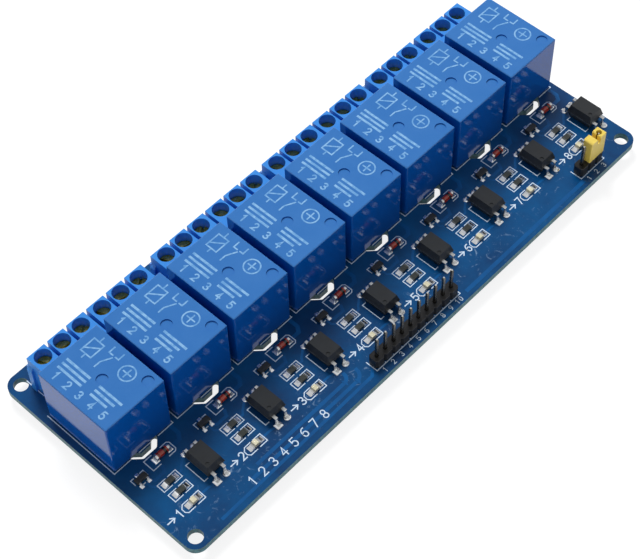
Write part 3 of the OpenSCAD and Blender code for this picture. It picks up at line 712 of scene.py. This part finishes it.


# the ring that marks the diode's cathode, and a pale line round each optocoupler's moulding seam, partly the
# seam's flash and partly a painted highlight on its ridge
def makeSmallMarks():
    glassLow, glassHigh = boxMm("diode_glass")
    axisZ = (glassLow[2] + glassHigh[2]) / 2
    radius = (glassHigh[2] - glassLow[2]) / 2 + 0.015
    axisY = (glassLow[1] + glassHigh[1]) / 2
    glassMid = glassLow[0] + (glassHigh[0] - glassLow[0] - 7 * channelStep) / 2 - channels[0]
    bands = Shape()
    sides = 28
    for x in channels:
        for start, end in ((0.35, 0.95), (-1.0, -0.86)):
            points = []
            for along in (start, end):
                for k in range(sides):
                    t = 2 * math.pi * k / sides
                    points.append((x + glassMid + along, axisY + radius * math.cos(t),
                                   axisZ + radius * math.sin(t)))
            faces = [(k, (k + 1) % sides, sides + (k + 1) % sides, sides + k) for k in range(sides)]
            bands.add(points, faces)
    finishPiece("diodeBands", bands, "bandInk", smooth=True)
    bodyLow, bodyHigh = boxMm("opto_bodies")
    width = bodyHigh[0] - bodyLow[0] - 7 * channelStep
    seamZ = (bodyLow[2] + bodyHigh[2]) / 2
    seams = Shape()
    # a painted highlight along the seam ridge, partly the seam's own flash
    for i in range(8):
        left = bodyLow[0] + i * channelStep
        loop = [(left, bodyLow[1]), (left + width, bodyLow[1]), (left + width, bodyHigh[1]),
                (left, bodyHigh[1]), (left, bodyLow[1])]
        ribbon(seams, loop, 0.08, seamZ - 0.02, seamZ + 0.02)
    finishPiece("seamFlashAndHighlightLines", seams, "seamFlashAndHighlight")


makeSmallMarks()


# copper under the solder mask

copperLook = {"rise": 0.012, "firstLane": 0.7, "lane": 0.8, "frontLane": 0.9, "signal": 0.5, "power": 3,
              "contact": 2.4, "coil": 0.8, "padRise": 0.03, "bigPad": 1.25, "bigHole": 0.6,
              "smallPad": 1, "smallHole": 0.55}
# paths in each channel, from its middle and the relay's front, each with its width
channelCopper = [
    # resistor to transistor
    ([(-3.2, -9.1), (-4.8, -7.4), (-4.8, -6.4)], 0.5),
    ([(0.4, -9.1), (1.6, -9.1), (2.2, -8.4), (4.4, -6.8)], 0.5),
    # lamp to optocoupler
    ([(0.3, -15.6), (2.4, -15.6), (4.4, -16)], 0.5),
    # diode to relay
    ([(3.6, -3.8), (6.2, -3.8), (7.1, -2.6), (7.1, -0.2)], 0.9),
    # round the transistor
    ([(-4.1, -6.2), (-3.4, -6.9), (-0.8, -6.9), (-0.2, -5.8)], 0.7),
]


def makeTraces():
    shape = Shape()
    low, high = topZ, topZ + copperLook["rise"]
    lanes = [frontY + 1.6, frontY + 3.4, frontY + 5]
    left, right = boardLow[0], boardHigh[0]
    ribbon(shape, [(left + 9, lanes[0]), (-17, lanes[0] + 0.4), (-15.6, lanes[0] + 1.6)],
           copperLook["firstLane"], low, high)
    # two lanes that turn back toward the header
    for start, lane, end, radius in ((left + 19, lanes[1], -20, 2), (left + 22, lanes[2], -22, 1.5)):
        bend = arcPath(end, lane + radius, radius, radius, -90, 0, 6)
        ribbon(shape, [(start, lane), (end, lane)] + bend, copperLook["lane"], low, high)
    ribbon(shape, [(12, frontY + 1.5), (right - 18, frontY + 1.5)], copperLook["frontLane"], low, high)
    for x in channels:
        for path, width in channelCopper:
            ribbon(shape, [(x + a, relayFront + b) for a, b in path], width, low, high)
    finishPiece("coveredCopper", shape, "traceMask")


# soldered pins, from a relay's middle and front, and from a terminal block's end and the relay's back
relayPinPlaces = [(0, 2.5), (-6, 4.5), (6, 4.5), (-6, 16.7), (6, 16.7)]
polePlaces = {"first": 3.15, "step": 5, "behind": 2.2}


def makeUndersideCopper():
    copper = Shape()
    rings = Shape()
    look = copperLook
    low, high = underZ - look["rise"], underZ
    padLow = underZ - look["padRise"]
    for i, mid in enumerate(relayMid):
        blockLow = boxMm(f"terminal_block_{i + 1}")[0]
        poleX = [blockLow[0] + polePlaces["first"] + polePlaces["step"] * p for p in range(3)]
        poleY = relayBack + polePlaces["behind"]
        relayPins = [(mid + a, relayFront + b) for a, b in relayPinPlaces]
        common = [relayPins[0], (mid, relayFront + 14), (poleX[1], poleY - 3), (poleX[1], poleY)]
        ribbon(copper, common, look["power"], low, high)
        for pin, pole in ((relayPins[3], poleX[0]), (relayPins[4], poleX[2])):
            ribbon(copper, [pin, (pole, poleY)], look["contact"], low, high)
        for pin in relayPins[1:3]:
            ribbon(copper, [pin, (pin[0], relayFront - 3)], look["coil"], low, high)
        for pinX, pinY in relayPins + [(pole, poleY) for pole in poleX]:
            ringPad(rings, pinX, pinY, look["bigPad"], look["bigHole"], padLow, underZ, 24)
    for header, count in headerPins.items():
        lowBox, highBox = boxMm(header)
        step = (highBox[0] - lowBox[0]) / count
        y = (lowBox[1] + highBox[1]) / 2
        for k in range(count):
            pinX = lowBox[0] + (k + 0.5) * step
            ringPad(rings, pinX, y, look["smallPad"], look["smallHole"], padLow, underZ, 20)
            if header == "input_header" and 0 < k < 9:
                lane = y + 2.4 + 0.9 * abs(k - 4.5)
                lampX = channels[k - 1] - 2.9
                ribbon(copper, [(pinX, y), (pinX, lane), (lampX, lane), (lampX, relayFront - 15.6)],
                       look["signal"], low, high)
    finishPiece("undersideCopper", copper, "traceMask")
    finishPiece("undersidePads", rings, "padTin")


makeTraces()
makeUndersideCopper()


# floor, light and camera

studio = {"floorColor": srgb(244, 244, 244), "floorSeen": 0.24, "floorSize": 3, "floorGlow": 0.84,
          "mirroredFloor": 0.62, "skyLight": 0.3, "skyBlue": 1.04, "ceiling": 0.62, "ceilingFrom": 0.4,
          "ceilingTo": 0.75, "keyPower": 6.1, "keyPlace": (0.22, 0.42, 0.72), "keySize": 0.3,
          "fillPower": 0.5, "fillPlace": (-0.5, -0.35, 0.45), "fillSize": 0.6}


def makeFloor():
    mesh = bpy.data.meshes.new("studioFloor")
    size = studio["floorSize"]
    mesh.from_pydata([(-size, -size, 0), (size, -size, 0), (size, size, 0), (-size, size, 0)], [],
                     [(0, 1, 2, 3)])
    floor = bpy.data.objects.new("studioFloor", mesh)
    bpy.context.scene.collection.objects.link(floor)
    material = bpy.data.materials.new("studioFloor")
    material.use_nodes = True
    tree = material.node_tree
    shader = tree.nodes["Principled BSDF"]
    shader.inputs["Roughness"].default_value = 0.9
    paths = addNode(tree, "ShaderNodeLightPath")
    seen = addNode(tree, "ShaderNodeMath", operation="MAXIMUM")
    mix = addNode(tree, "ShaderNodeMix", data_type="RGBA")
    glow = addNode(tree, "ShaderNodeMix", data_type="RGBA")
    mix.inputs["A"].default_value = studio["floorColor"]
    mix.inputs["B"].default_value = (studio["floorSeen"],) * 3 + (1,)
    glow.inputs["A"].default_value = (0, 0, 0, 1)
    glow.inputs["B"].default_value = (studio["floorGlow"],) * 3 + (1,)
    link = tree.links.new
    link(paths.outputs["Is Camera Ray"], seen.inputs[0])
    link(paths.outputs["Is Glossy Ray"], seen.inputs[1])
    link(seen.outputs["Value"], mix.inputs["Factor"])
    dimmed = addNode(tree, "ShaderNodeMath", operation="MULTIPLY")
    dimmed.inputs[1].default_value = studio["mirroredFloor"] / studio["floorGlow"]
    level = addNode(tree, "ShaderNodeMath", operation="MAXIMUM")
    link(paths.outputs["Is Glossy Ray"], dimmed.inputs[0])
    link(paths.outputs["Is Camera Ray"], level.inputs[0])
    link(dimmed.outputs["Value"], level.inputs[1])
    link(level.outputs["Value"], glow.inputs["Factor"])
    link(mix.outputs["Result"], shader.inputs["Base Color"])
    link(glow.outputs["Result"], shader.inputs["Emission Color"])
    shader.inputs["Emission Strength"].default_value = 1
    mesh.materials.append(material)


def makeWorld():
    world = bpy.data.worlds.new("studio")
    bpy.context.scene.world = world
    world.use_nodes = True
    tree = world.node_tree
    back = tree.nodes["Background"]
    paths = addNode(tree, "ShaderNodeLightPath")
    seen = addNode(tree, "ShaderNodeMath", operation="MAXIMUM")
    again = addNode(tree, "ShaderNodeMath", operation="MAXIMUM")
    mix = addNode(tree, "ShaderNodeMix", data_type="RGBA")
    sky = studio["skyLight"]
    mix.inputs["A"].default_value = (sky, sky, sky * studio["skyBlue"], 1)
    link = tree.links.new
    link(paths.outputs["Is Camera Ray"], seen.inputs[0])
    link(paths.outputs["Is Glossy Ray"], seen.inputs[1])
    link(seen.outputs["Value"], again.inputs[0])
    link(paths.outputs["Is Transmission Ray"], again.inputs[1])
    link(again.outputs["Value"], mix.inputs["Factor"])
    # mirrored rays see a dimmer ceiling than walls
    aim = addNode(tree, "ShaderNodeTexCoord")
    split = addNode(tree, "ShaderNodeSeparateXYZ")
    ceiling = addNode(tree, "ShaderNodeMapRange", interpolation_type="SMOOTHSTEP")
    ceiling.inputs["From Min"].default_value = studio["ceilingFrom"]
    ceiling.inputs["From Max"].default_value = studio["ceilingTo"]
    ceiling.inputs["To Min"].default_value = 1
    ceiling.inputs["To Max"].default_value = studio["ceiling"]
    walls = addNode(tree, "ShaderNodeMix", data_type="RGBA")
    walls.inputs["A"].default_value = (1, 1, 1, 1)
    link(aim.outputs["Generated"], split.inputs["Vector"])
    link(split.outputs["Z"], ceiling.inputs["Value"])
    link(ceiling.outputs["Result"], walls.inputs["B"])
    link(paths.outputs["Is Glossy Ray"], walls.inputs["Factor"])
    link(walls.outputs["Result"], mix.inputs["B"])
    link(mix.outputs["Result"], back.inputs["Color"])
    back.inputs["Strength"].default_value = 1


def makeLamp(name, place, size, power):
    light = bpy.data.lights.new(name, "AREA")
    light.shape = "SQUARE"
    light.size = size
    light.energy = power
    lamp = bpy.data.objects.new(name, light)
    lamp.location = place
    lamp.rotation_euler = (-Vector(place)).to_track_quat("-Z", "Y").to_euler()
    bpy.context.scene.collection.objects.link(lamp)
    lamp.visible_glossy = False  # the tent around the board is what shines in it


view = {"place": (-0.15256, -0.14591, 0.29198), "aim": (0.41488, 0.40289, -0.81582), "roll": -1.547,
        "lens": 95.26, "sensor": 36, "near": 0.01, "shiftX": -0.01354, "shiftY": 0.00368}


def makeCamera():
    camera = bpy.data.cameras.new("camera")
    camera.sensor_width = view["sensor"]
    camera.lens = view["lens"]
    camera.shift_x = view["shiftX"]
    camera.shift_y = view["shiftY"]
    camera.clip_start = view["near"]
    holder = bpy.data.objects.new("camera", camera)
    turn = Vector(view["aim"]).to_track_quat("-Z", "Y").to_matrix().to_4x4()
    roll = Matrix.Rotation(math.radians(view["roll"]), 4, "Z")
    holder.matrix_world = Matrix.Translation(view["place"]) @ turn @ roll
    bpy.context.scene.collection.objects.link(holder)
    bpy.context.scene.camera = holder


makeFloor()
makeWorld()
makeLamp("keyLight", studio["keyPlace"], studio["keySize"], studio["keyPower"])
makeLamp("fillLight", studio["fillPlace"], studio["fillSize"], studio["fillPower"])
makeCamera()
bpy.context.scene.view_settings.view_transform = "Standard"

print("scene made")
